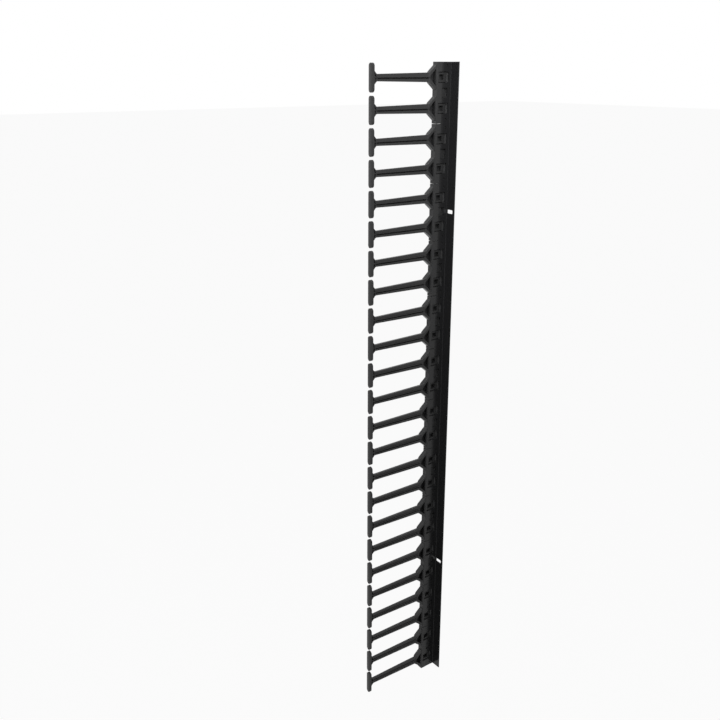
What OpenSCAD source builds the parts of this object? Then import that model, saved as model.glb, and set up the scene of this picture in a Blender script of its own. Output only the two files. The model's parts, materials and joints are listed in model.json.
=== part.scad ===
// Vertical cable manager for a server rack: a folded sheet-steel bracket that bolts to the rack
// frame, with a row of moulded two-finger modules clipped behind its front leg.
// Millimetres. +Z is up, +X points from the finger tips to the rack post, -Y is the front.
// The origin is on the mounting face of the flange, midway between the two mounting slots.

/* [Row of modules] */
// Distance from one finger to the next, which is one rack unit
finger_pitch = 44.45; // [30:0.05:60]
// Number of finger modules stacked up the bracket
module_count = 12; // [4:1:24]
// Gap between neighbouring modules at the seam
seam_gap = 0.65; // [0.2:0.05:3]
// Distance from the finger tip bar's middle to the mounting face
finger_reach = 146.8; // [110:1:240]

/* [Bracket sheet] */
// Thickness of the folded steel sheet
sheet = 1.5; // [1:0.1:3]
// Width of the mounting flange, measured over the outside of the bend
flange_width = 19.2; // [16:0.5:40]
// Width of the leg that carries the modules, over the outside of the bend
leg_width = 18.5; // [17:0.5:30]
// Inside radius of the bend
bend_radius = 0.6; // [0.4:0.1:3]
// Radius on the flange's free corners
flange_corner = 1.8; // [1:0.2:6]

/* [Mounting slots] */
// Length of each mounting slot, end to end, across the flange
slot_length = 12.7; // [8:0.1:14]
// Width of each mounting slot
slot_width = 6.4; // [4:0.1:8]
// Distance between the two slots, in rack units
slot_spacing_units = 14; // [4:2:40]
// Distance from the flange's free edge to the middle of the slots
slot_edge_distance = 10.4; // [8:0.2:20]

/* [Fingers] */
// Height of the bar across each finger tip
tip_bar_height = 39.5; // [20:0.5:50]
// Width of the tip bar from front to back
tip_bar_width = 7.7; // [5:0.1:12]
// Thickness of the tip bar
tip_bar_thickness = 2.6; // [2:0.1:5]
// Height of the crown on the tip bar's outer face
tip_crown_height = 0.8; // [0.3:0.1:1.5]
// Thickness of the finger's upright blade
blade_thickness = 4.1; // [3:0.1:6]
// Height of the blade where it meets the tip gusset
blade_height_tip = 9.4; // [6:0.1:16]
// Height of the blade where it meets the root
blade_height_root = 13.2; // [8:0.1:20]
// Thickness of the stiffening rib along the blade's middle
rib_thickness = 1.3; // [0.8:0.1:3]
// Half height of the gusset where it meets the tip bar
gusset_half = 8.5; // [6:0.5:14]
// Length of the gusset behind the tip bar
gusset_length = 9.4; // [5:0.2:16]
// Depth of the triangular reliefs in the gusset's two faces
gusset_relief = 1.3; // [0.4:0.1:1.8]

/* [Finger roots] */
// Length of the flared root
root_length = 13.2; // [10:0.2:20]
// Half height of the flare where it meets the base
root_half = 17.4; // [12:0.2:20]
// Half height of the triangular pocket in the root
pocket_half = 12; // [6:0.5:14]
// Width of the root from front to back
root_width = 7.8; // [5:0.1:9]
// Thickness of the wall that closes the pocket at the back
pocket_wall = 1.4; // [0.8:0.1:3]
// Thickness of the wall between the pocket and the base
pocket_inset = 1.4; // [0.8:0.1:3]
// Length of the lead-in where the blade swells into the root
lead_in_length = 2.4; // [1:0.2:5]
// Height that the lead-in gains, above and below
lead_in_rise = 1.6; // [0.6:0.2:3]
// Length of the root's flat collar on the base
collar_length = 0.4; // [0.2:0.1:1.5]

/* [Module base] */
// Width of the base bar
base_width = 10.6; // [8:0.2:16]
// Distance from the finger's middle plane to the front of the base
base_front = 4.5; // [4:0.1:7]
// Distance from the finger's middle plane to the back of the base
base_back = 5.3; // [3:0.1:8]
// Thickness of the back plate that lies behind the sheet
plate_thickness = 5.2; // [4:0.1:8]
// Width of the back plate beyond the base bar
plate_width = 15; // [10:0.5:20]
// Clearance between the back plate and the sheet
sheet_clearance = 0.1; // [0.05:0.05:0.5]
// Depth of the reliefs in the back of the base bar
core_depth = 4; // [1:0.5:6]
// Thickness of the walls around the reliefs
core_wall = 1.6; // [1:0.1:3]
// Number of reliefs in a module's back
core_count = 6; // [2:1:10]

/* [Snap loops] */
// Half height of the snap loop
loop_half = 7.1; // [5:0.1:9]
// Reach of the snap loop past the base bar's edge
loop_reach = 9.8; // [6:0.1:13]
// Half height of the window in the loop
loop_window_half = 4; // [2:0.1:5]
// Distance the loop's face is set back from the base's front
loop_setback = 2.1; // [0.8:0.1:3]
// Distance from the base bar's outer edge to the root of the loop
loop_inset = 3.6; // [2.4:0.1:5]
// Width of the bar at the loop's root
loop_wall = 2.6; // [1.4:0.1:4]
// Length of the loop's nose past its window
loop_nose = 5.6; // [3:0.1:7]
// Radius on the corners of the loop's nose
loop_radius = 4.6; // [1:0.2:5]
// Thickness of the floor behind the loop's window
window_floor = 1; // [0.6:0.1:2]
// Gap between the loop and the notch it sits in, above and below
loop_side_gap = 0.8; // [0.3:0.1:2]
// Gap between the end of the loop and the end of its notch
loop_end_gap = 3.2; // [1:0.1:5]
// Depth of the moat around the loop, below the sheet's back face
moat_depth = 2.2; // [0.6:0.1:3]

/* [Tabs and pins] */
// Half height of the tab between a module's fingers
tab_half = 6.7; // [4:0.1:10]
// Reach of the tab past the base bar's edge
tab_reach = 6.4; // [4:0.1:10]
// Distance the tab's face is set back from the base's front
tab_setback = 1.9; // [0.8:0.1:2.1]
// Gap above and below the tab in its notch
tab_side_gap = 0.4; // [0.2:0.1:1]
// Gap between the end of the tab and the end of its notch
tab_end_gap = 4.4; // [1:0.1:6]
// Diameter of the locating holes in the sheet
pin_hole = 3.6; // [2:0.1:5]
// Radial clearance of a locating pin in its hole
pin_clearance = 0.25; // [0.1:0.05:0.6]
// Distance from a module's end to its locating pin
pin_inset = 5.6; // [4:0.1:10]
// Distance from the base bar's edge to the locating pins
pin_offset = 9.4; // [6:0.1:12]
// Distance the pins stop short of the sheet's front face
pin_setback = 1; // [0.3:0.1:1.4]

/* [Hidden] */
$fn = 48;
eps = 0.01;
through = 1;                                  // how far a cutter passes each face
fingers_per_module = 2;

// heights
pitch = finger_pitch;
module_pitch = fingers_per_module * pitch;
module_length = module_pitch - seam_gap;
bracket_length = module_count * module_pitch - seam_gap;
max_spacing = floor((bracket_length - 60) / (2 * pitch)) * 2;   // slots stay on the flange
slot_spacing = min(slot_spacing_units, max_spacing) * pitch;

// front to back: y = 0 is the middle of the slots
flange_end_y = -slot_edge_distance;
leg_back_y = flange_end_y + flange_width;
leg_front_y = leg_back_y - sheet;
finger_y = leg_front_y + base_front - 0.6;    // middle plane of the fingers
base_front_y = finger_y - base_front;
base_back_y = finger_y + base_back;
plate_front_y = leg_back_y + sheet_clearance;
plate_back_y = plate_front_y + plate_thickness;

// across: x = 0 is the mounting face
base_right_x = -leg_width - 0.2;
base_left_x = base_right_x - base_width;
tip_x = -finger_reach;
blade_start_x = tip_x + tip_bar_thickness / 2 + gusset_length;
root_start_x = base_left_x - root_length + 1.7;
plate_right_x = min(base_right_x + plate_width, -sheet - 1.5);
loop_left_x = base_left_x + loop_inset;
loop_right_x = base_right_x + min(loop_reach, plate_width - loop_end_gap - 1);
loop_front_y = base_front_y + loop_setback;
loop_gap = loop_inset / 6;                    // gap behind the loop's root
window_left_x = loop_left_x + loop_wall;
window_right_x = max(loop_right_x - loop_nose, window_left_x + 1);
tab_right_x = base_right_x + tab_reach;
tab_front_y = base_front_y + tab_setback;
moat_floor_y = min(plate_front_y + moat_depth, plate_back_y - window_floor - 0.5);
window_floor_y = plate_back_y - window_floor;
core_floor_y = max(base_back_y - core_depth, moat_floor_y + 1);
pin_x = base_right_x + pin_offset;
pin_r = pin_hole / 2 - pin_clearance;

function module_name(i) = str("finger_module_", i < 10 ? "0" : "", i);
function module_z(i) = (module_count / 2 - i + 0.5) * module_pitch;
function finger_offset(k) = (k - (fingers_per_module - 1) / 2) * pitch;

// Turns a profile drawn in X and Z into a plate between two depths.
module plate(y0, y1) {
    translate([0, y1, 0]) rotate([90, 0, 0]) linear_extrude(y1 - y0) children();
}

// A notch or loop outline: square on the left, rounded on the right.
module d_outline(x0, x1, half, r) {
    translate([x0, -half]) square([x1 - r - x0, 2 * half]);
    translate([x1 - r - eps, -(half - r)]) square([r + eps, 2 * (half - r)]);
    for (s = [-1, 1]) translate([x1 - r, s * (half - r)]) circle(r);
}

// ---- bracket ----

module bracket_profile() {
    r = bend_radius + sheet;
    translate([-leg_width, leg_front_y]) square([leg_width - r + eps, sheet]);
    translate([-sheet, flange_end_y]) square([sheet, leg_back_y - r - flange_end_y + eps]);
    translate([-r, leg_back_y - r]) intersection() {
        difference() { circle(r); circle(bend_radius); }
        square(r + eps);
    }
}

module mounting_slot() {
    reach = slot_length / 2 - slot_width / 2;
    for (s = [-1, 1]) translate([-sheet - through, s * reach, 0])
        rotate([0, 90, 0]) cylinder(d = slot_width, h = sheet + 2 * through);
    translate([-sheet - through, -reach, -slot_width / 2])
        cube([sheet + 2 * through, 2 * reach, slot_width]);
}

module flange_corner_cut(side) {
    translate([-sheet - through, flange_end_y, side * bracket_length / 2]) difference() {
        translate([0, -through, -flange_corner * (side > 0 ? 1 : 0) - through * (side > 0 ? 0 : 1)])
            cube([sheet + 2 * through, flange_corner + through, flange_corner + through]);
        translate([-through, flange_corner, -side * flange_corner])
            rotate([0, 90, 0]) cylinder(r = flange_corner, h = sheet + 4 * through);
    }
}

module sheet_openings(z) {
    notch_end = loop_right_x + loop_end_gap;
    for (k = [0 : fingers_per_module - 1]) translate([0, 0, z + finger_offset(k)])
        plate(leg_front_y - through, leg_back_y + through)
            d_outline(-leg_width - through, notch_end, loop_half + loop_side_gap, loop_radius + 1);
    translate([0, 0, z]) plate(leg_front_y - through, leg_back_y + through)
        d_outline(-leg_width - through, tab_right_x + tab_end_gap, tab_half + tab_side_gap, 0.8);
    for (s = [-1, 1]) translate([pin_x, 0, z + s * (module_length / 2 - pin_inset)])
        rotate([-90, 0, 0]) translate([0, 0, leg_front_y - through])
            cylinder(d = pin_hole, h = sheet + 2 * through);
}

module mounting_bracket() {
    color([0.05, 0.05, 0.055]) difference() {
        translate([0, 0, -bracket_length / 2]) linear_extrude(bracket_length) bracket_profile();
        for (s = [-1, 1]) translate([0, 0, s * slot_spacing / 2]) mounting_slot();
        for (s = [-1, 1]) flange_corner_cut(s);
        for (i = [1 : module_count]) sheet_openings(module_z(i));
    }
}

// ---- one finger, about its own middle height ----

module tip_bar() {
    half = tip_bar_height / 2;
    w = tip_bar_width / 2;
    crown_r = (w * w + tip_crown_height * tip_crown_height) / (2 * tip_crown_height);
    outer = tip_x - tip_bar_thickness / 2;
    intersection() {
        // rounded upright outline seen from the tip
        translate([outer - through, finger_y, 0]) rotate([90, 0, 90])
            linear_extrude(tip_bar_thickness + 2 * through) {
                translate([-w, -(half - w)]) square([2 * w, 2 * (half - w)]);
                for (s = [-1, 1]) translate([0, s * (half - w)]) circle(w);
            }
        // crowned section seen from above
        translate([0, finger_y, -half - through]) linear_extrude(2 * half + 2 * through)
            intersection() {
                translate([outer + crown_r, 0]) circle(crown_r, $fn = 160);
                translate([outer, -w]) square([tip_bar_thickness, 2 * w]);
            }
    }
}

module gusset() {
    x0 = tip_x + tip_bar_thickness / 2;
    b = blade_height_tip / 2;
    difference() {
        plate(finger_y - blade_thickness / 2, finger_y + blade_thickness / 2)
            polygon([[x0 - 0.6, -gusset_half], [x0 + 1, -gusset_half], [blade_start_x, -b],
                     [blade_start_x + 1, -b], [blade_start_x + 1, b], [blade_start_x, b],
                     [x0 + 1, gusset_half], [x0 - 0.6, gusset_half]]);
        for (side = [-1, 1]) for (s = [-1, 1])
            plate(side > 0 ? finger_y + blade_thickness / 2 - gusset_relief : finger_y - blade_thickness / 2 - through,
                  side > 0 ? finger_y + blade_thickness / 2 + through : finger_y - blade_thickness / 2 + gusset_relief)
                polygon([[x0 + 0.6, s * (rib_thickness / 2 + 0.3)],
                         [x0 + gusset_length * 0.8, s * (rib_thickness / 2 + 0.3)],
                         [x0 + 0.6, s * (gusset_half - 1.8)]]);
    }
}

module blade() {
    a = blade_height_tip / 2;
    b = blade_height_root / 2;
    plate(finger_y - blade_thickness / 2, finger_y + blade_thickness / 2)
        polygon([[blade_start_x, -a], [root_start_x + 2, -b], [root_start_x + 2, b], [blade_start_x, a]]);
    // stiffening rib, as wide as the tip bar
    translate([tip_x, finger_y - tip_bar_width / 2 + 0.1, -rib_thickness / 2])
        cube([root_start_x - tip_x + 1, tip_bar_width - 0.2, rib_thickness]);
}

module root() {
    b = blade_height_root / 2;
    pocket_right = base_left_x - pocket_inset;
    difference() {
        plate(finger_y - root_width / 2, finger_y + root_width / 2)
            polygon([[root_start_x - lead_in_length, -b + lead_in_rise], [root_start_x, -b],
                     [base_left_x - collar_length, -root_half], [base_left_x + 1, -root_half],
                     [base_left_x + 1, root_half], [base_left_x - collar_length, root_half],
                     [root_start_x, b], [root_start_x - lead_in_length, b - lead_in_rise]]);
        plate(finger_y - root_width / 2 - through, finger_y + root_width / 2 - pocket_wall)
            polygon([[pocket_right - pocket_half * 1.06, 0], [pocket_right, -pocket_half], [pocket_right, pocket_half]]);
    }
}

module finger() {
    tip_bar();
    gusset();
    blade();
    root();
}

// ---- module base ----

// Notch in the base bar, and moat in the back plate around the loop.
module loop_recess() {
    plate(base_front_y - through, moat_floor_y)
        d_outline(loop_left_x - loop_gap, loop_right_x + loop_end_gap, loop_half + loop_side_gap, loop_radius + 1);
}

module snap_loop() {
    plate(loop_front_y, moat_floor_y + 0.2) d_outline(loop_left_x, loop_right_x, loop_half, loop_radius);
}

module loop_window() {
    plate(loop_front_y - through, window_floor_y) translate([window_left_x, -loop_window_half])
        square([window_right_x - window_left_x, 2 * loop_window_half]);
}

module tab_recess() {
    plate(plate_front_y - through, moat_floor_y)
        d_outline(base_right_x, tab_right_x + tab_end_gap, tab_half + tab_side_gap, 0.8);
}

module centre_tab() {
    plate(tab_front_y, moat_floor_y + 0.2) d_outline(base_right_x - 0.5, tab_right_x, tab_half, 0.6);
}

module locating_pins() {
    for (s = [-1, 1]) translate([pin_x, leg_front_y + pin_setback, s * (module_length / 2 - pin_inset)])
        rotate([-90, 0, 0]) cylinder(r = pin_r, h = plate_front_y + 0.5 - leg_front_y - pin_setback);
}

module base_body() {
    half = module_length / 2;
    translate([base_left_x, base_front_y, -half]) cube([base_width, base_back_y - base_front_y, 2 * half]);
    translate([base_right_x - 1, plate_front_y, -half]) cube([plate_right_x - base_right_x + 1, plate_thickness, 2 * half]);
}

// Reliefs moulded into the back of the base bar, one between each pair of stiffening walls.
module back_reliefs() {
    half = module_length / 2;
    cell = (2 * half - core_wall) / core_count;
    core_width = window_left_x - base_left_x - 2 * core_wall;
    for (c = [0 : core_count - 1])
        translate([base_left_x + core_wall, core_floor_y, -half + core_wall + c * cell])
            cube([core_width, base_back_y - core_floor_y + through, cell - core_wall]);
}

module base() {
    difference() {
        union() {
            difference() {
                base_body();
                for (k = [0 : fingers_per_module - 1]) translate([0, 0, finger_offset(k)]) loop_recess();
                tab_recess();
            }
            for (k = [0 : fingers_per_module - 1]) translate([0, 0, finger_offset(k)]) snap_loop();
            centre_tab();
        }
        for (k = [0 : fingers_per_module - 1]) translate([0, 0, finger_offset(k)]) loop_window();
        back_reliefs();
    }
    locating_pins();
}

module finger_module(i) {
    color([0.06, 0.06, 0.062]) translate([0, 0, module_z(i)]) union() {
        base();
        for (k = [0 : fingers_per_module - 1]) translate([0, 0, finger_offset(k)]) finger();
    }
}

mounting_bracket();
for (i = [1 : module_count])
    finger_module(i);
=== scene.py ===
"""Dressing of the vertical cable manager: bracket, finger modules, finishes, studio and camera."""

import json
import logging
import math
from collections.abc import Callable, Iterable
from dataclasses import dataclass, field
from enum import Enum

import bmesh
import bpy
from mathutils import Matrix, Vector


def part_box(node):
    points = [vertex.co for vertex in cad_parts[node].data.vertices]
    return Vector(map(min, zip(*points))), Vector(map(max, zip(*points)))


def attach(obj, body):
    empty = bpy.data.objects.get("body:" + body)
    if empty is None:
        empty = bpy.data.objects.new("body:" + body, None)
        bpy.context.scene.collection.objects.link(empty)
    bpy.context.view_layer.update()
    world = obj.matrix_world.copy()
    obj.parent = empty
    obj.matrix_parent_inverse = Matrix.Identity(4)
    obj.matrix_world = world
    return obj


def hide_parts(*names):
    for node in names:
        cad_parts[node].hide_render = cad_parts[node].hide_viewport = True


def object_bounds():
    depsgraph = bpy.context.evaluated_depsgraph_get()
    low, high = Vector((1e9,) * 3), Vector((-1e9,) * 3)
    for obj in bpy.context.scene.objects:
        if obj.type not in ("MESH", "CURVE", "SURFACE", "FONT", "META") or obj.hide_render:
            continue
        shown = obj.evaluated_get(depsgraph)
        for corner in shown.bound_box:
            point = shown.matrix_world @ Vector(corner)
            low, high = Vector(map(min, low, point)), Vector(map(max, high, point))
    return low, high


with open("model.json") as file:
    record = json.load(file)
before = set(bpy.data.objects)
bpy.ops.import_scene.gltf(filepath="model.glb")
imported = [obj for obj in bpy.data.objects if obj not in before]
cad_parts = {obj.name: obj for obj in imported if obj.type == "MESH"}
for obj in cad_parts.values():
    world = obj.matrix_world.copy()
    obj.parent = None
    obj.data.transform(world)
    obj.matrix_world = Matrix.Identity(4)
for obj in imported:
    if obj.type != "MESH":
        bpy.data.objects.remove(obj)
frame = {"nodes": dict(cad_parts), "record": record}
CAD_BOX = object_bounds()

log = logging.getLogger("cable_manager")

MM = 0.001
BODY = "root"
BRACKET_NODE = "mounting_bracket"
MODULE_PREFIX = "finger_module_"
RACK_UNIT = 44.45 * MM
FACE_ANGLE = math.radians(32)
STEEP_ANGLE = math.radians(60)
MERGE_DISTANCE = 0.002 * MM
ON_PLANE = 0.01 * MM
FACING = 0.9
HEADING = math.radians(54.154)

Point = tuple[float, float, float]
EdgeTest = Callable[[Vector, Vector, float], bool]
FaceTest = Callable[[Vector, Vector], bool]


class Axis(Enum):
    """An axis of the row frame, by its index in a vector."""

    X = 0
    Y = 1
    Z = 2


class Slot(Enum):
    """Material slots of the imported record."""

    STEEL = "steel_powder_coat"
    PLASTIC = "moulded_plastic"


# ---- modelling tools -------------------------------------------------------------------------


def select_only(*things: bpy.types.Object) -> None:
    """Select these objects and nothing else, with the first one active.

    Args:
        things: The objects to select.
    """
    if bpy.context.object and bpy.context.object.mode != "OBJECT":
        bpy.ops.object.mode_set(mode="OBJECT")
    bpy.ops.object.select_all(action="DESELECT")
    for thing in things:
        thing.select_set(True)
    bpy.context.view_layer.objects.active = things[0]


def settle(thing: bpy.types.Object) -> bpy.types.Object:
    """Bake an object's place into its mesh, so that it sits at the origin.

    Args:
        thing: The object to settle.

    Returns:
        The same object.
    """
    select_only(thing)
    bpy.ops.object.transform_apply(location=True, rotation=True, scale=True)
    return thing


def block(name: str, low: Point, high: Point) -> bpy.types.Object:
    """Add a cube primitive and stretch it between two corners.

    Args:
        name: The object's name.
        low: Its lowest corner in metres.
        high: Its highest corner in metres.

    Returns:
        The settled block.
    """
    bpy.ops.object.select_all(action="DESELECT")
    middle = [(a + b) / 2 for a, b in zip(low, high)]
    bpy.ops.mesh.primitive_cube_add(size=1, location=middle)
    thing = bpy.context.object
    thing.name = name
    thing.scale = [b - a for a, b in zip(low, high)]
    return settle(thing)


def rod(
    name: str, start: Point, length: float, radius: float, axis: Axis, sides: int = 32
) -> bpy.types.Object:
    """Add a cylinder primitive that runs from a point along an axis.

    Args:
        name: The object's name.
        start: The middle of its first end.
        length: Its length.
        radius: Its radius.
        axis: The axis it runs along.
        sides: The number of its sides.

    Returns:
        The settled rod.
    """
    bpy.ops.object.select_all(action="DESELECT")
    middle = list(start)
    middle[axis.value] += length / 2
    turn = {Axis.X: (0, math.pi / 2, 0), Axis.Y: (math.pi / 2, 0, 0), Axis.Z: (0, 0, 0)}[axis]
    bpy.ops.mesh.primitive_cylinder_add(
        vertices=sides, radius=radius, depth=length, location=middle, rotation=turn
    )
    bpy.context.object.name = name
    return settle(bpy.context.object)


def pick_edges(thing: bpy.types.Object, wanted: EdgeTest) -> int:
    """In edit mode, select the edges that a test accepts.

    Args:
        thing: The object in edit mode.
        wanted: Test of an edge's middle, its direction and the angle between its faces.

    Returns:
        How many edges were selected.
    """
    bpy.ops.mesh.select_mode(type="EDGE")
    bpy.ops.mesh.select_all(action="DESELECT")
    mesh = bmesh.from_edit_mesh(thing.data)
    count = 0
    for edge in mesh.edges:
        middle = (edge.verts[0].co + edge.verts[1].co) / 2
        along = (edge.verts[1].co - edge.verts[0].co).normalized()
        angle = edge.calc_face_angle(0.0) if len(edge.link_faces) == 2 else 0.0
        if wanted(middle, along, angle):
            edge.select_set(True)
            count += 1
    mesh.select_flush(True)
    bmesh.update_edit_mesh(thing.data)
    return count


def pick_faces(thing: bpy.types.Object, wanted: FaceTest) -> None:
    """In edit mode, select the faces that a test accepts.

    Args:
        thing: The object in edit mode.
        wanted: Test of a face's middle and normal.
    """
    bpy.ops.mesh.select_mode(type="FACE")
    bpy.ops.mesh.select_all(action="DESELECT")
    mesh = bmesh.from_edit_mesh(thing.data)
    for face in mesh.faces:
        if wanted(face.calc_center_median(), face.normal):
            face.select_set(True)
    bmesh.update_edit_mesh(thing.data)


def near(value: float, target: float, reach: float = ON_PLANE) -> bool:
    """Tell whether a place lies on a plane, but for rounding."""
    return abs(value - target) < reach


def bevel_edges(
    thing: bpy.types.Object, width: float, segments: int, wanted: EdgeTest
) -> bpy.types.Object:
    """Round the edges of an object that a test accepts.

    Args:
        thing: The object.
        width: The radius of the rounding.
        segments: The number of steps in it.
        wanted: Test of an edge's middle, direction and face angle.

    Returns:
        The same object.
    """
    select_only(thing)
    bpy.ops.object.mode_set(mode="EDIT")
    if pick_edges(thing, wanted):
        bpy.ops.mesh.bevel(offset=width, segments=segments, affect="EDGES", clamp_overlap=True)
    bpy.ops.object.mode_set(mode="OBJECT")
    return thing


def soften(thing: bpy.types.Object, width: float, segments: int = 2) -> bpy.types.Object:
    """Round every sharp edge of an object a little, as a mould or a press leaves it.

    Args:
        thing: The object.
        width: The radius of the rounding.
        segments: The number of steps in it.

    Returns:
        The same object.
    """
    return bevel_edges(thing, width, segments, lambda middle, along, angle: angle > FACE_ANGLE)


def round_corners(
    thing: bpy.types.Object, axis: Axis, radius: float, segments: int, wanted: Callable[[Vector], bool]
) -> bpy.types.Object:
    """Round the edges that run along one axis and whose middles a test accepts.

    Args:
        thing: The object.
        axis: The axis that the edges run along.
        radius: The radius of the corner.
        segments: The number of steps in it.
        wanted: Test of an edge's middle.

    Returns:
        The same object.
    """
    return bevel_edges(
        thing, radius, segments, lambda middle, along, angle: abs(along[axis.value]) > 0.99 and wanted(middle)
    )


def combine(thing: bpy.types.Object, others: Iterable[bpy.types.Object], operation: str) -> bpy.types.Object:
    """Apply boolean modifiers with other objects, which are used up.

    Args:
        thing: The object that is kept.
        others: The objects that are added, cut away or intersected.
        operation: UNION, DIFFERENCE or INTERSECT.

    Returns:
        The same object.
    """
    for other in others:
        select_only(thing)
        modifier = thing.modifiers.new(operation.lower(), "BOOLEAN")
        modifier.operation = operation
        modifier.solver = "EXACT"
        modifier.object = other
        bpy.ops.object.modifier_apply(modifier=modifier.name)
        bpy.data.objects.remove(other, do_unlink=True)
    return thing


def fuse(thing: bpy.types.Object, *others: bpy.types.Object) -> bpy.types.Object:
    """Join solids into one closed skin."""
    return combine(thing, others, "UNION")


def cut(thing: bpy.types.Object, *cutters: bpy.types.Object) -> bpy.types.Object:
    """Cut solids out of one solid."""
    return combine(thing, cutters, "DIFFERENCE")


def gather(name: str, things: list[bpy.types.Object]) -> bpy.types.Object:
    """Join separate cutters into one object, for a single cut.

    Args:
        name: The name of the result.
        things: Solids that don't touch each other.

    Returns:
        One object with all their meshes.
    """
    select_only(*things)
    bpy.ops.object.join()
    things[0].name = name
    return things[0]


def copy_to(thing: bpy.types.Object, name: str, offset: Vector) -> bpy.types.Object:
    """Duplicate an object with its own mesh and bake an offset into it.

    Args:
        thing: The object to copy.
        name: The copy's name.
        offset: How far the copy is moved.

    Returns:
        The copy, at the origin, with its place in its mesh.
    """
    select_only(thing)
    bpy.ops.object.duplicate(linked=False)
    twin = bpy.context.object
    twin.name = name
    twin.data.name = name
    twin.location = offset
    return settle(twin)


def finish_surface(thing: bpy.types.Object) -> bpy.types.Object:
    """Close the skin, point its faces outwards and shade the rounded edges smooth.

    The booleans can leave hairline slits and stray edges, which are merged, deleted or filled.

    Args:
        thing: The object.

    Returns:
        The same object.
    """
    select_only(thing)
    bpy.ops.object.mode_set(mode="EDIT")
    bpy.ops.mesh.select_all(action="SELECT")
    bpy.ops.mesh.remove_doubles(threshold=MERGE_DISTANCE)
    bpy.ops.mesh.delete_loose()
    bpy.ops.mesh.select_all(action="SELECT")
    bpy.ops.mesh.fill_holes(sides=0)
    bpy.ops.mesh.select_all(action="SELECT")
    bpy.ops.mesh.normals_make_consistent(inside=False)
    bpy.ops.object.mode_set(mode="OBJECT")
    bpy.ops.object.shade_smooth_by_angle(angle=FACE_ANGLE)
    flat = thing.modifiers.new("flat_faces_stay_flat", "WEIGHTED_NORMAL")
    flat.keep_sharp = True
    flat.weight = 100
    bpy.ops.object.modifier_apply(modifier=flat.name)
    return thing


def rounded_block(
    name: str, low: Point, high: Point, radius: float, segments: int = 2
) -> bpy.types.Object:
    """Add a block with all its edges rounded.

    Args:
        name: The object's name.
        low: Its lowest corner.
        high: Its highest corner.
        radius: The radius on its edges.
        segments: The number of steps in the rounding.

    Returns:
        The block.
    """
    return soften(block(name, low, high), radius, segments)


# ---- finishes --------------------------------------------------------------------------------


@dataclass(frozen=True)
class Finish:
    """A dark coating or moulding whose gloss and grain come from procedural nodes."""

    name: str
    slot: Slot
    colour: tuple[float, float, float]
    worn_colour: tuple[float, float, float]
    roughness: float
    roughness_spread: float
    grain_scale: float
    grain_height: float
    specular: float
    refraction: float = 1.5
    cloud_scale: float = 22.0
    cloud_detail: float = 5.0
    cloud_range: tuple[float, float] = (0.3, 0.7)
    grain_detail: float = 3.0

    def material(self) -> bpy.types.Material:
        """Build the finish as a node material.

        Returns:
            The material.
        """
        material = bpy.data.materials.new(self.name)
        material.use_nodes = True
        nodes, links = material.node_tree.nodes, material.node_tree.links
        shader = nodes["Principled BSDF"]
        shader.inputs["Specular IOR Level"].default_value = self.specular
        shader.inputs["IOR"].default_value = self.refraction

        place = nodes.new("ShaderNodeTexCoord")
        cloud = nodes.new("ShaderNodeTexNoise")
        cloud.inputs["Scale"].default_value = self.cloud_scale
        cloud.inputs["Detail"].default_value = self.cloud_detail
        links.new(place.outputs["Object"], cloud.inputs["Vector"])

        tint = nodes.new("ShaderNodeMix")
        tint.data_type = "RGBA"
        tint.inputs["A"].default_value = (*self.colour, 1.0)
        tint.inputs["B"].default_value = (*self.worn_colour, 1.0)
        links.new(cloud.outputs["Fac"], tint.inputs["Factor"])
        links.new(tint.outputs["Result"], shader.inputs["Base Color"])

        gloss = nodes.new("ShaderNodeMapRange")
        gloss.inputs["From Min"].default_value = self.cloud_range[0]
        gloss.inputs["From Max"].default_value = self.cloud_range[1]
        gloss.inputs["To Min"].default_value = self.roughness - self.roughness_spread
        gloss.inputs["To Max"].default_value = self.roughness + self.roughness_spread
        links.new(cloud.outputs["Fac"], gloss.inputs["Value"])
        links.new(gloss.outputs["Result"], shader.inputs["Roughness"])

        grain = nodes.new("ShaderNodeTexNoise")
        grain.inputs["Scale"].default_value = self.grain_scale
        grain.inputs["Detail"].default_value = self.grain_detail
        links.new(place.outputs["Object"], grain.inputs["Vector"])
        bump = nodes.new("ShaderNodeBump")
        bump.inputs["Strength"].default_value = 1.0
        bump.inputs["Distance"].default_value = self.grain_height
        links.new(grain.outputs["Fac"], bump.inputs["Height"])
        links.new(bump.outputs["Normal"], shader.inputs["Normal"])
        return material


POWDER_COAT = Finish(
    name="semi_gloss_powder_coat",
    slot=Slot.STEEL,
    colour=(0.016, 0.016, 0.0168),
    worn_colour=(0.021, 0.021, 0.0218),
    roughness=0.2,
    roughness_spread=0.04,
    grain_scale=900.0,
    grain_height=0.004 * MM,
    specular=0.2,
)
MOULDED_BLACK = Finish(
    name="satin_moulded_black",
    slot=Slot.PLASTIC,
    colour=(0.024, 0.024, 0.0245),
    worn_colour=(0.032, 0.032, 0.0325),
    roughness=0.3,
    roughness_spread=0.05,
    grain_scale=2600.0,
    grain_height=0.008 * MM,
    specular=0.24,
)


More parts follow.
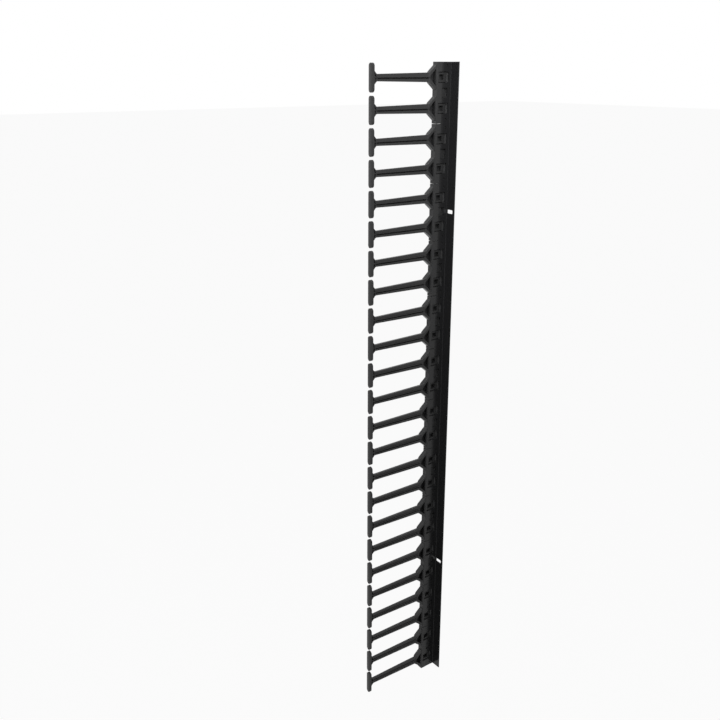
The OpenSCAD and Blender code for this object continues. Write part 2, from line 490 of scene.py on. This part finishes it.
@dataclass(frozen=True)
class PaleGround:
    """Plain pale floor: it takes shadow as paper does and shows near white to the eye."""

    name: str = "pale_floor_paper"
    colour: tuple[float, float, float] = (0.86, 0.86, 0.86)
    roughness: float = 0.9
    seen_white: float = 0.95

    def material(self) -> bpy.types.Material:
        """Build the floor's material.

        Returns:
            The material.
        """
        material = bpy.data.materials.new(self.name)
        material.use_nodes = True
        nodes, links = material.node_tree.nodes, material.node_tree.links
        shader = nodes["Principled BSDF"]
        shader.inputs["Base Color"].default_value = (*self.colour, 1.0)
        shader.inputs["Roughness"].default_value = self.roughness
        shader.inputs["Specular IOR Level"].default_value = 0.0
        glow = nodes.new("ShaderNodeEmission")
        glow.inputs["Strength"].default_value = 1.0
        share = seen_by_eye(nodes, links, self.seen_white)
        mix = nodes.new("ShaderNodeMixShader")
        links.new(share, mix.inputs["Fac"])
        links.new(shader.outputs["BSDF"], mix.inputs[1])
        links.new(glow.outputs["Emission"], mix.inputs[2])
        links.new(mix.outputs["Shader"], nodes["Material Output"].inputs["Surface"])
        return material


def seen_by_eye(
    nodes: bpy.types.Nodes, links: bpy.types.NodeLinks, share: float
) -> bpy.types.NodeSocket:
    """Make a socket that gives a share to camera, glossy and transmission rays only.

    Args:
        nodes: The node tree's nodes.
        links: The node tree's links.
        share: The value for those rays.

    Returns:
        The socket.
    """
    path = nodes.new("ShaderNodeLightPath")
    total = path.outputs["Is Camera Ray"]
    for name in ("Is Glossy Ray", "Is Transmission Ray"):
        either = nodes.new("ShaderNodeMath")
        either.operation = "MAXIMUM"
        links.new(total, either.inputs[0])
        links.new(path.outputs[name], either.inputs[1])
        total = either.outputs[0]
    scaled = nodes.new("ShaderNodeMath")
    scaled.operation = "MULTIPLY"
    scaled.inputs[1].default_value = share
    links.new(total, scaled.inputs[0])
    return scaled.outputs[0]


# ---- bracket ---------------------------------------------------------------------------------


@dataclass
class SteelBracket:
    """Folded L bracket with its slots, notches and locating holes."""

    sheet: float = 1.5 * MM
    bend_radius: float = 0.6 * MM
    bend_steps: int = 8
    inner_bend_steps: int = 5
    leg_overlap: float = 0.5 * MM
    flange_corner: float = 1.8 * MM
    corner_steps: int = 6
    slot_length: float = 12.7 * MM
    slot_width: float = 6.4 * MM
    slot_end_share: float = 0.999
    slot_steps: int = 10
    edge_radius: float = 0.18 * MM
    past: float = 1.0 * MM
    low: Vector = field(default_factory=lambda: Vector(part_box(BRACKET_NODE)[0]))
    high: Vector = field(default_factory=lambda: Vector(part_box(BRACKET_NODE)[1]))

    def strip(self) -> bpy.types.Object:
        """Fold the bare L: two flat strips, a rounded bend and rounded free corners.

        Returns:
            The strip, with no holes yet.
        """
        low, high = self.low, self.high
        strip = block("bracket_strip", (high.x - self.sheet, low.y, low.z), tuple(high))
        leg = block(
            "leg", (low.x, high.y - self.sheet, low.z), (high.x - self.leg_overlap, high.y, high.z)
        )
        fuse(strip, leg)
        inner = (high.x - self.sheet, high.y - self.sheet)
        round_corners(
            strip, Axis.Z, self.bend_radius + self.sheet, self.bend_steps,
            lambda m: near(m.x, high.x) and near(m.y, high.y),
        )
        round_corners(
            strip, Axis.Z, self.bend_radius, self.inner_bend_steps,
            lambda m: near(m.x, inner[0]) and near(m.y, inner[1]),
        )
        return round_corners(
            strip, Axis.X, self.flange_corner, self.corner_steps, lambda m: near(m.y, low.y)
        )

    def slot_cutters(self) -> list[bpy.types.Object]:
        """Make the cutters of the two mounting slots, which stand about the origin.

        Returns:
            Two cutters.
        """
        cutters = []
        mounts = {mount["name"]: mount["dims"] for mount in frame["record"]["mounts"]}
        spacing = mounts["mounting_slots"]["spacing_y_mm"]
        for side in (-1, 1):
            z = side * spacing * MM / 2
            length, width = self.slot_length / 2, self.slot_width / 2
            cutter = block(
                "slot", (self.high.x - self.sheet - self.past, -length, z - width),
                (self.high.x + self.past, length, z + width),
            )
            radius = width * self.slot_end_share
            cutters.append(round_corners(cutter, Axis.X, radius, self.slot_steps, lambda m: True))
        return cutters

    def punch(
        self, name: str, left: float, right: float, middle: float, half: float, radius: float
    ) -> bpy.types.Object:
        """Make one punch for a notch that is open at the leg's free edge.

        Args:
            name: The punch's name.
            left: Where it starts across.
            right: Where it ends across.
            middle: Its middle height.
            half: Its half height.
            radius: The radius on its far corners.

        Returns:
            The punch.
        """
        punch = block(
            name, (left, self.high.y - self.sheet - self.past, middle - half),
            (right, self.high.y + self.past, middle + half),
        )
        return round_corners(
            punch, Axis.Y, radius, self.corner_steps, lambda m: m.x > (left + right) / 2
        )

    def build(self, module: "FingerModule") -> bpy.types.Object:
        """Fold, punch and deburr the bracket.

        Args:
            module: The module whose loops, tab and pins the openings clear.

        Returns:
            The finished bracket.
        """
        bracket = self.strip()
        left = self.low.x - self.past
        cutters = self.slot_cutters()
        for middle in module.heights():
            for offset in module.finger_offsets():
                cutters.append(
                    self.punch("loop_notch", left, module.notch_right, middle + offset,
                               module.loop_half + module.loop_side_gap, module.moat_radius)
                )
            cutters.append(
                self.punch("tab_notch", left, module.tab_right + module.tab_end_gap, middle,
                           module.tab_half + module.tab_side_gap, module.tab_corner)
            )
            for pin_height in module.pin_heights():
                cutters.append(
                    rod("pin_hole", (module.pin_x, self.high.y - self.sheet - self.past, middle + pin_height),
                        self.sheet + 2 * self.past, module.pin_hole / 2, Axis.Y)
                )
        cut(bracket, gather("punches", cutters))
        soften(bracket, self.edge_radius)
        bracket.name = "bracket_steel"
        return finish_surface(bracket)


# ---- finger modules --------------------------------------------------------------------------


@dataclass
class FingerModule:
    """One moulding: two T-ended fingers, the base bar, snap loops, tab and pins.

    It is modelled once about height 0 and copied to each module's place.
    """

    tip_bar_height: float = 40.3 * MM
    tip_bar_width: float = 9.4 * MM
    tip_bar_setback: float = 0.35 * MM
    tip_bar_thickness: float = 4.2 * MM
    tip_crown: float = 0.5 * MM
    tip_rounding: float = 0.5 * MM
    tip_end_sides: int = 48
    tip_crown_sides: int = 192
    blade_thickness: float = 4.1 * MM
    blade_tip: float = 10.1 * MM
    blade_root: float = 14.0 * MM
    blade_rounding: float = 0.5 * MM
    blade_end_draft: float = 0.2 * MM
    rib_thickness: float = 1.3 * MM
    rib_rounding: float = 0.22 * MM
    rib_width: float = 6.5 * MM
    rib_rise: float = 0.7 * MM
    groove_depth: float = 1.8 * MM
    groove_height: float = 2.2 * MM
    groove_gap: float = 0.12 * MM
    groove_floor_share: float = 0.15
    groove_past: float = 0.2 * MM
    gusset_half: float = 11.0 * MM
    gusset_length: float = 6.4 * MM
    gusset_bend: tuple[tuple[float, float], ...] = ((0.1, 1.03), (0.12, 1.13))
    gusset_slope_length: float = 0.68
    gusset_slope_share: float = 0.96
    gusset_butt_length: float = 0.1
    gusset_relief: float = 1.3 * MM
    relief_reach: float = 0.8
    relief_wall: float = 0.6 * MM
    relief_rib_gap: float = 0.3 * MM
    relief_rim: float = 1.8 * MM
    root_length: float = 13.2 * MM
    root_overlap: float = 1.7 * MM
    root_half: float = 17.8 * MM
    root_width: float = 7.8 * MM
    blade_stop: float = 2.4 * MM
    lead_in_length: float = 1.7 * MM
    lead_in_rise: float = 0.7 * MM
    lead_in_swell: float = 0.92
    root_bend_length: float = 1.5 * MM
    root_bend_rise: float = 1.9 * MM
    collar_length: float = 1.2 * MM
    pocket_half: float = 12.0 * MM
    pocket_wall: float = 1.4 * MM
    pocket_inset: float = 1.4 * MM
    pocket_reach: float = 1.06
    pocket_rounding: float = 0.3 * MM
    base_width: float = 10.6 * MM
    base_rounding: float = 0.45 * MM
    base_clearance: float = 0.2 * MM
    sheet_clearance: float = 0.1 * MM
    finger_setback: float = 4.5 * MM
    plate_thickness: float = 5.2 * MM
    core_depth: float = 4.0 * MM
    core_wall: float = 1.6 * MM
    core_count: int = 6
    core_corner: float = 0.8 * MM
    loop_half: float = 7.1 * MM
    loop_reach: float = 9.8 * MM
    loop_window_half: float = 4.0 * MM
    loop_setback: float = 2.1 * MM
    loop_side_gap: float = 0.8 * MM
    loop_end_gap: float = 3.2 * MM
    loop_radius: float = 4.6 * MM
    loop_nose: float = 5.6 * MM
    loop_wall: float = 2.6 * MM
    loop_inset: float = 3.6 * MM
    window_floor: float = 1.0 * MM
    window_corner: float = 0.4 * MM
    front_rounding: float = 0.3 * MM
    moat_depth: float = 2.2 * MM
    moat_left: float = 0.6 * MM
    floor_overlap: float = 0.2 * MM
    tab_half: float = 6.7 * MM
    tab_reach: float = 6.4 * MM
    tab_setback: float = 1.9 * MM
    tab_side_gap: float = 0.4 * MM
    tab_end_gap: float = 4.4 * MM
    tab_corner: float = 0.8 * MM
    tab_overlap: float = 0.5 * MM
    pin_hole: float = 3.6 * MM
    pin_clearance: float = 0.25 * MM
    pin_inset: float = 5.6 * MM
    pin_offset: float = 9.4 * MM
    pin_setback: float = 1.0 * MM
    pin_length: float = 1.6 * MM
    pin_overlap: float = 0.5 * MM
    pin_rounding: float = 0.25 * MM
    pin_sides: int = 24
    fingers: int = 2
    edge_radius: float = 0.35 * MM

    def __post_init__(self) -> None:
        """Take the places of the moulding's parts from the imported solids."""
        first = MODULE_PREFIX + "01"
        low, high = (Vector(corner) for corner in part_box(first))
        self.nodes = sorted(n for n in frame["nodes"] if n.startswith(MODULE_PREFIX))
        self.length = high.z - low.z
        self.tip_x = low.x
        self.plate_right = high.x
        self.front_y, self.back_y = low.y, high.y
        self.base_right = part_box(BRACKET_NODE)[0][0] - self.base_clearance
        self.base_left = self.base_right - self.base_width
        self.plate_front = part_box(BRACKET_NODE)[1][1] + self.sheet_clearance
        self.middle_y = self.front_y + self.finger_setback
        self.tip_back = self.tip_x + self.tip_bar_thickness
        self.blade_start = self.tip_back + self.gusset_length
        self.root_start = self.base_left - self.root_length + self.root_overlap
        self.moat_floor = self.plate_front + self.moat_depth
        self.moat_radius = self.loop_radius + MM
        self.loop_left = self.base_left + self.loop_inset
        self.loop_right = self.base_right + self.loop_reach
        self.notch_right = self.loop_right + self.loop_end_gap
        self.tab_right = self.base_right + self.tab_reach
        self.pin_x = self.base_right + self.pin_offset

    def heights(self) -> list[float]:
        """List the middle height of every module."""
        return [(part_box(n)[0][2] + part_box(n)[1][2]) / 2 for n in self.nodes]

    def finger_offsets(self) -> list[float]:
        """List the heights of the fingers about the module's middle."""
        return [(k - (self.fingers - 1) / 2) * RACK_UNIT for k in range(self.fingers)]

    def pin_heights(self) -> list[float]:
        """List the heights of the locating pins about the module's middle."""
        reach = self.length / 2 - self.pin_inset
        return [-reach, reach]

    def tip_bar(self) -> bpy.types.Object:
        """Model the crowned bar across a finger's tip.

        Returns:
            The bar.
        """
        half, w = self.tip_bar_height / 2, self.tip_bar_width / 2
        middle = self.middle_y + self.tip_bar_setback
        bar = block(
            "tip_bar", (self.tip_x, middle - w, w - half),
            (self.tip_x + self.tip_bar_thickness, middle + w, half - w),
        )
        for end in (w - half, half - w):
            start = (self.tip_x, middle, end)
            fuse(bar, rod("tip_end", start, self.tip_bar_thickness, w, Axis.X, self.tip_end_sides))
        crown = (w * w + self.tip_crown**2) / (2 * self.tip_crown)
        foot = (self.tip_x + crown, middle, -half - MM)
        shell = rod("crown", foot, 2 * half + 2 * MM, crown, Axis.Z, self.tip_crown_sides)
        combine(bar, [shell], "INTERSECT")
        return soften(bar, self.tip_rounding, 3)

    def spine(self) -> bpy.types.Object:
        """Model blade, tip gusset and root flare as one run of extrusions.

        Returns:
            The spine, with its reliefs and pocket cut.
        """
        back, root_start = self.tip_back, self.root_start
        thin, wide = self.blade_thickness / 2, self.root_width / 2
        tip_half, end_half = self.blade_tip / 2, self.blade_root / 2
        spine = block(
            "spine", (self.blade_start, self.middle_y - thin, -tip_half),
            (root_start - self.blade_stop, self.middle_y + thin, tip_half),
        )
        select_only(spine)
        bpy.ops.object.mode_set(mode="EDIT")
        pick_faces(spine, lambda m, n: n.x > FACING)
        half, width = end_half - self.blade_end_draft, thin
        bpy.ops.transform.resize(
            value=(1, 1, half / tip_half), center_override=(root_start, self.middle_y, 0)
        )
        slope = self.root_length - self.root_overlap - self.collar_length
        flare = [
            (self.lead_in_length, end_half + self.lead_in_rise, wide * self.lead_in_swell),
            (self.root_bend_length, end_half + self.root_bend_rise, wide),
            (slope, self.root_half, wide),
            (self.collar_length, self.root_half, wide),
        ]
        for step, next_half, next_width in flare:
            bpy.ops.mesh.extrude_region_move(TRANSFORM_OT_translate={"value": (step, 0, 0)})
            bpy.ops.transform.resize(
                value=(1, next_width / width, next_half / half),
                center_override=(root_start, self.middle_y, 0),
            )
            half, width = next_half, next_width
        pick_faces(spine, lambda m, n: n.x < -FACING)
        half = tip_half
        full = self.gusset_half / tip_half
        gusset = [
            *self.gusset_bend,
            (self.gusset_slope_length, self.gusset_slope_share * full),
            (self.gusset_butt_length, full),
        ]
        for step, growth in gusset:
            move = {"value": (-step * self.gusset_length, 0, 0)}
            bpy.ops.mesh.extrude_region_move(TRANSFORM_OT_translate=move)
            bpy.ops.transform.resize(
                value=(1, 1, growth * tip_half / half), center_override=(back, self.middle_y, 0)
            )
            half = growth * tip_half
        bpy.ops.object.mode_set(mode="OBJECT")
        bevel_edges(
            spine, self.blade_rounding, 3,
            lambda m, along, angle: angle > STEEP_ANGLE and abs(along.x) > 0.2,
        )
        cut(spine, *self.relief_cutters(), self.pocket_cutter())
        return bevel_edges(spine, self.pocket_rounding, 2, self.on_pocket_rim)

    def on_pocket_rim(self, middle: Vector, along: Vector, angle: float) -> bool:
        """Tell whether an edge of the spine lies on the pocket's rim.

        Args:
            middle: The edge's middle.
            along: Its direction, which doesn't matter here.
            angle: The angle between its faces.

        Returns:
            True for an edge to round.
        """
        front = self.middle_y - self.root_width / 2
        past_root = middle.x - self.root_start
        return (
            angle > FACE_ANGLE
            and near(middle.y, front, 0.05 * MM)
            and abs(middle.z) < min(self.pocket_half + 0.2 * MM, past_root + 3 * MM)
            and past_root > -1.5 * MM
            and middle.x < self.base_left - self.pocket_inset + 0.1 * MM
        )

    def wedge(
        self, name: str, tip: float, butt: float, low: float, high: float, front: float, back: float
    ) -> bpy.types.Object:
        """Model a cutter that is tall at one end and runs out to an edge at the other.

        Args:
            name: The cutter's name.
            tip: Where it runs out, across.
            butt: Where it is tallest, across.
            low: Its lowest height at the butt.
            high: Its highest height at the butt.
            front: Its front.
            back: Its back.

        Returns:
            The cutter.
        """
        left, right = min(tip, butt), max(tip, butt)
        cutter = block(name, (left, front, low), (right, back, high))
        select_only(cutter)
        bpy.ops.object.mode_set(mode="EDIT")
        pick_faces(cutter, lambda m, n: (n.x < -FACING) if tip < butt else (n.x > FACING))
        level = 0 if low < 0 < high else (low if abs(low) < abs(high) else high)
        bpy.ops.transform.resize(value=(1, 1, 0.004), center_override=(tip, self.middle_y, level))
        bpy.ops.object.mode_set(mode="OBJECT")
        return cutter

    def relief_cutters(self) -> list[bpy.types.Object]:
        """Make the four cutters of the triangular reliefs in the gusset."""
        thin, rib = self.blade_thickness / 2, self.rib_thickness / 2 + self.relief_rib_gap
        top = self.gusset_half - self.relief_rim
        tip = self.tip_back + self.gusset_length * self.relief_reach
        butt = self.tip_back + self.relief_wall
        cutters = []
        for face in (-1, 1):
            outer = self.middle_y + face * (thin + MM)
            inner = self.middle_y + face * (thin - self.gusset_relief)
            for side in (-1, 1):
                low, high = sorted((side * rib, side * top))
                cutters.append(self.wedge("relief", tip, butt, low, high, *sorted((outer, inner))))
        return cutters

    def pocket_cutter(self) -> bpy.types.Object:
        """Make the cutter of the triangular pocket in the root."""
        right = self.base_left - self.pocket_inset
        return self.wedge(
            "pocket", right - self.pocket_half * self.pocket_reach, right,
            -self.pocket_half, self.pocket_half,
            self.middle_y - self.root_width / 2 - MM,
            self.middle_y + self.root_width / 2 - self.pocket_wall,
        )

    def finger(self) -> bpy.types.Object:
        """Model one whole finger about height 0.

        Returns:
            The finger.
        """
        finger = self.spine()
        half, thick = self.rib_width / 2, self.rib_thickness / 2
        rib = rounded_block(
            "rib", (self.tip_x + MM, self.middle_y - half, self.rib_rise - thick),
            (self.root_start + MM, self.middle_y + half, self.rib_rise + thick), self.rib_rounding,
        )
        fuse(finger, rib, self.tip_bar())
        return cut(finger, *self.rib_grooves())

    def rib_grooves(self) -> list[bpy.types.Object]:
        """Make the V-shaped cutters that run under the rib, one on each face of the blade."""
        thin, start = self.blade_thickness / 2, self.blade_start
        top = self.rib_rise - self.rib_thickness / 2 - self.groove_gap
        middle = top - self.groove_height / 2
        cutters = []
        for face in (-1, 1):
            front, back = sorted((
                self.middle_y + face * (thin + self.groove_past),
                self.middle_y + face * (thin - self.groove_depth),
            ))
            cutter = block(
                "rib_groove", (start, front, top - self.groove_height), (self.root_start, back, top)
            )
            select_only(cutter)
            bpy.ops.object.mode_set(mode="EDIT")
            pick_faces(cutter, lambda m, n, face=face: n.y * face < -FACING)
            bpy.ops.transform.resize(
                value=(1, 1, self.groove_floor_share), center_override=(start, self.middle_y, middle)
            )
            bpy.ops.object.mode_set(mode="OBJECT")
            cutters.append(cutter)
        return cutters

    def base(self) -> bpy.types.Object:
        """Model the base bar and back plate, with reliefs, moats, loops, tab and pins.

        Returns:
            The base.
        """
        half = self.length / 2
        base = rounded_block(
            "base", (self.base_left, self.front_y, -half), (self.base_right, self.back_y, half),
            self.base_rounding, 3,
        )
        plate = rounded_block(
            "plate", (self.base_right - MM, self.plate_front, -half),
            (self.plate_right, self.plate_front + self.plate_thickness, half), self.edge_radius,
        )
        fuse(base, plate)
        recesses = [self.recess(offset) for offset in self.finger_offsets()]
        cut(base, gather("recesses", [*recesses, self.tab_recess()]))
        for offset in self.finger_offsets():
            fuse(base, self.snap_loop(offset))
        fuse(base, self.centre_tab(), *self.pins())
        windows = [self.window(offset) for offset in self.finger_offsets()]
        return cut(base, gather("windows_and_cores", [*windows, *self.cores(half)]))

    def recess(self, middle: float) -> bpy.types.Object:
        """Make the cutter of the notch and moat around a snap loop."""
        half = self.loop_half + self.loop_side_gap
        cutter = block(
            "recess", (self.loop_left - self.moat_left, self.front_y - MM, middle - half),
            (self.notch_right, self.moat_floor, middle + half),
        )
        return round_corners(cutter, Axis.Y, self.moat_radius, 6, lambda m: m.x > self.base_right)

    def tab_recess(self) -> bpy.types.Object:
        """Make the cutter of the moat around the centre tab."""
        half = self.tab_half + self.tab_side_gap
        cutter = block(
            "tab_recess", (self.base_right, self.plate_front - MM, -half),
            (self.tab_right + self.tab_end_gap, self.moat_floor, half),
        )
        return round_corners(
            cutter, Axis.Y, self.tab_corner, 3, lambda m: m.x > self.base_right + MM
        )

    def cores(self, half: float) -> list[bpy.types.Object]:
        """Make the cutters of the reliefs in the back of the base bar."""
        cell = (2 * half - self.core_wall) / self.core_count
        cutters = []
        for index in range(self.core_count):
            low = -half + self.core_wall + index * cell
            core = block(
                "core", (self.base_left + self.core_wall, self.back_y - self.core_depth, low),
                (self.loop_left + self.loop_wall - self.core_wall, self.back_y + MM,
                 low + cell - self.core_wall),
            )
            cutters.append(round_corners(core, Axis.Y, self.core_corner, 3, lambda m: True))
        return cutters

    def snap_loop(self, middle: float) -> bpy.types.Object:
        """Model one snap loop, still without its window."""
        front = self.front_y + self.loop_setback
        loop = block(
            "loop", (self.loop_left, front, middle - self.loop_half),
            (self.loop_right, self.moat_floor + self.floor_overlap, middle + self.loop_half),
        )
        round_corners(loop, Axis.Y, self.loop_radius, 6, lambda m: m.x > self.base_right)
        return bevel_edges(
            loop, self.front_rounding, 2,
            lambda m, along, angle: angle > FACE_ANGLE and near(m.y, front),
        )

    def window(self, middle: float) -> bpy.types.Object:
        """Make the cutter of a loop's square window."""
        floor = self.plate_front + self.plate_thickness - self.window_floor
        cutter = block(
            "window", (self.loop_left + self.loop_wall, self.front_y, middle - self.loop_window_half),
            (self.loop_right - self.loop_nose, floor, middle + self.loop_window_half),
        )
        return round_corners(cutter, Axis.Y, self.window_corner, 2, lambda m: True)

    def centre_tab(self) -> bpy.types.Object:
        """Model the square tab between the module's fingers."""
        return rounded_block(
            "tab", (self.base_right - self.tab_overlap, self.front_y + self.tab_setback, -self.tab_half),
            (self.tab_right, self.moat_floor + self.floor_overlap, self.tab_half), self.front_rounding,
        )

    def pins(self) -> list[bpy.types.Object]:
        """Model the two locating pins."""
        radius = self.pin_hole / 2 - self.pin_clearance
        front = self.plate_front - self.pin_length + self.pin_setback
        length = self.plate_front + self.pin_overlap - front
        return [
            soften(
                rod("pin", (self.pin_x, front, z), length, radius, Axis.Y, self.pin_sides),
                self.pin_rounding,
            )
            for z in self.pin_heights()
        ]

    def build(self) -> list[bpy.types.Object]:
        """Model the moulding once and copy it to every module's place.

        Returns:
            The modules, top to bottom.
        """
        moulding = self.base()
        finger = self.finger()
        for offset in self.finger_offsets():
            fuse(moulding, copy_to(finger, "finger_copy", Vector((0, 0, offset))))
        bpy.data.objects.remove(finger, do_unlink=True)
        finish_surface(moulding)
        copies = []
        for node, height in zip(self.nodes, self.heights()):
            name = node.replace("finger_module", "moulding")
            copies.append(copy_to(moulding, name, Vector((0, 0, height))))
        bpy.data.objects.remove(moulding, do_unlink=True)
        return copies


# ---- studio ----------------------------------------------------------------------------------


@dataclass(frozen=True)
class SoftPanel:
    """A rectangular lamp, placed and aimed about the top of the object."""

    name: str
    place: Point
    aim: Point
    size: tuple[float, float]
    power: float

    def hang(self, top: Vector) -> None:
        """Add the lamp and turn it to its aim.

        Args:
            top: The top of the object.
        """
        place, aim = top + Vector(self.place), top + Vector(self.aim)
        bpy.ops.object.light_add(type="AREA", location=place)
        lamp = bpy.context.object
        lamp.name = self.name
        lamp.rotation_euler = (aim - place).to_track_quat("-Z", "Y").to_euler()
        lamp.data.shape = "RECTANGLE"
        lamp.data.size, lamp.data.size_y = self.size
        lamp.data.energy = self.power


PANELS = (
    SoftPanel("over_top_panel", (-0.1, -0.5, 0.35), (0, 0, -0.2), (0.5, 0.4), 5.0),
    SoftPanel(
        "back_left_panel", (-1.6 * math.cos(HEADING), 1.6 * math.sin(HEADING), 0.1), (0, 0, 0),
        (1.2, 0.9), 2.0,
    ),
    SoftPanel("left_panel", (-0.8, -0.3, 0.2), (0, 0, -0.25), (0.4, 0.6), 5.0),
)


@dataclass
class Studio:
    """White studio with a floor, three soft panels and a camera up and to the left."""

    floor_drop: float = 0.35
    floor_size: float = 60.0
    heading: float = HEADING
    pitch: float = math.radians(18.4666)
    lens: float = 43.456
    sensor: float = 36.0
    sight: float = 200.0
    back: tuple[float, float] = (-0.83791, -1.02410)
    rise: float = 0.52171
    ambient: float = 0.1

    def middle(self) -> Vector:
        """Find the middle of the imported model."""
        low, high = (Vector(corner) for corner in CAD_BOX)
        return (low + high) / 2

    def place_camera(self) -> None:
        """Create the camera and make it the scene's."""
        bpy.ops.object.select_all(action="DESELECT")
        middle = self.middle()
        bpy.ops.object.camera_add(
            location=(middle.x + self.back[0], middle.y + self.back[1], middle.z + self.rise),
            rotation=(math.pi / 2 - self.pitch, 0, self.heading - math.pi / 2),
        )
        camera = bpy.context.object
        camera.name = "studio_camera"
        camera.data.lens = self.lens
        camera.data.sensor_width = self.sensor
        camera.data.clip_end = self.sight
        bpy.context.scene.camera = camera

    def lay_floor(self) -> None:
        """Lay the plain pale floor under the object."""
        bpy.ops.object.select_all(action="DESELECT")
        middle = self.middle()
        height = CAD_BOX[0][2] - self.floor_drop
        bpy.ops.mesh.primitive_plane_add(
            size=self.floor_size, location=(middle.x, middle.y, height)
        )
        floor = bpy.context.object
        floor.name = "floor"
        floor.data.materials.append(PaleGround().material())

    def light(self) -> None:
        """Set the world, which is white to the eye and dim as a light, and hang the panels."""
        world = bpy.data.worlds.new("studio_world")
        bpy.context.scene.world = world
        world.use_nodes = True
        nodes, links = world.node_tree.nodes, world.node_tree.links
        glow = nodes["Background"]
        glow.inputs["Color"].default_value = (1, 1, 1, 1)
        extra = seen_by_eye(nodes, links, 1.0 - self.ambient)
        level = nodes.new("ShaderNodeMath")
        level.operation = "ADD"
        level.inputs[1].default_value = self.ambient
        links.new(extra, level.inputs[0])
        links.new(level.outputs[0], glow.inputs["Strength"])
        middle = self.middle()
        top = Vector((middle.x, middle.y, CAD_BOX[1][2]))
        for panel in PANELS:
            panel.hang(top)


# ---- the whole thing -------------------------------------------------------------------------


def dress(piece: bpy.types.Object, finish: bpy.types.Material, node: str) -> None:
    """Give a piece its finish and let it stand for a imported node.

    Args:
        piece: The modelled piece.
        finish: Its material.
        node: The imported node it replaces.
    """
    piece.data.materials.clear()
    piece.data.materials.append(finish)
    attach(piece, BODY)
    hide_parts(node)
    log.info("%s: %d faces", piece.name, len(piece.data.polygons))


def refinish_nodes(steel: bpy.types.Material, plastic: bpy.types.Material) -> None:
    """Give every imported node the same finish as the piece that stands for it.

    Args:
        steel: The finish of the bracket.
        plastic: The finish of the modules.
    """
    for name in frame["nodes"]:
        node = bpy.data.objects.get(name)
        if node is None:
            continue
        finish = steel if name == BRACKET_NODE else plastic
        if node.data.materials:
            for index in range(len(node.data.materials)):
                node.data.materials[index] = finish
        else:
            node.data.materials.append(finish)


def main() -> None:
    """Build the studio, the bracket and the modules, and dress them."""
    logging.basicConfig(level=logging.INFO, format="%(name)s %(message)s")
    studio = Studio()
    studio.place_camera()
    studio.lay_floor()
    studio.light()
    steel, plastic = POWDER_COAT.material(), MOULDED_BLACK.material()
    refinish_nodes(steel, plastic)
    module = FingerModule()
    dress(SteelBracket().build(module), steel, BRACKET_NODE)
    for piece, node in zip(module.build(), module.nodes):
        dress(piece, plastic, node)
    bpy.context.scene.view_settings.view_transform = "Standard"


if __name__ == "__main__":
    main()
